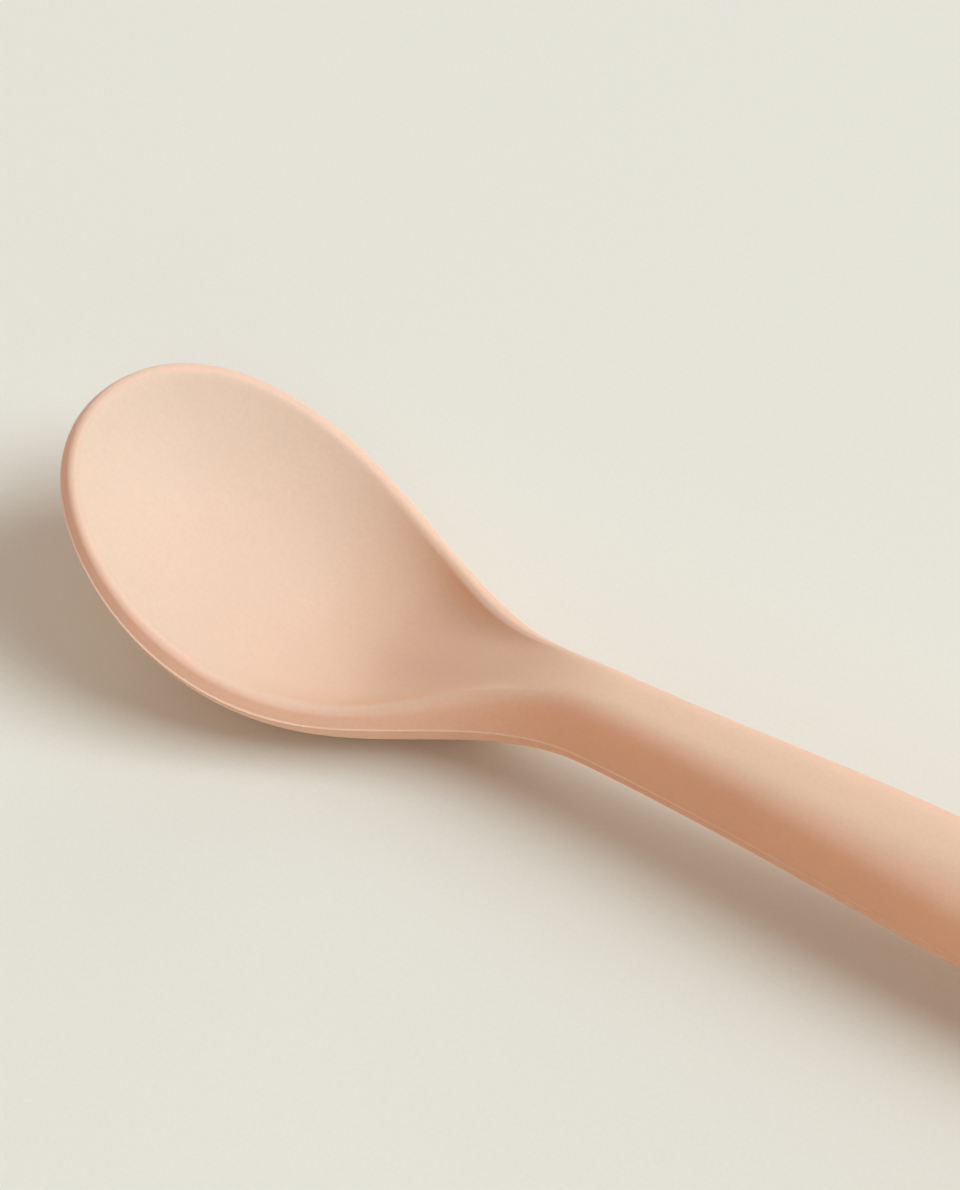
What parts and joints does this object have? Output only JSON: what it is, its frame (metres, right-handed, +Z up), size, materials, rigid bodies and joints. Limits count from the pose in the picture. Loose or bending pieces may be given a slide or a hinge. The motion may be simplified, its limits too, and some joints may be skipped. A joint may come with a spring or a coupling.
{
  "type": "baby spoon",
  "caption": "Soft baby spoon: an oval tilted bowl with a rolled rim runs through a slim neck into a rounded handle, two bonded silicone skins over a sealed stiff core",
  "frame": {"origin": "Bottom centre of the bounding box: on the table plane, midway along the length, on the mirror plane", "axes": "+X from the tip of the bowl to the end of the handle, +Y across the spoon, +Z up from the table it lies on"},
  "size_m": [0.145, 0.032, 0.0212],
  "materials": {
    "silicone": "matte, fine-grained",
    "core": "natural, uncoloured"
  },
  "bodies": {
    "root": {"upper_skin": "silicone", "lower_skin": "silicone", "stiff_core": "core"}
  },
  "joints": []
}
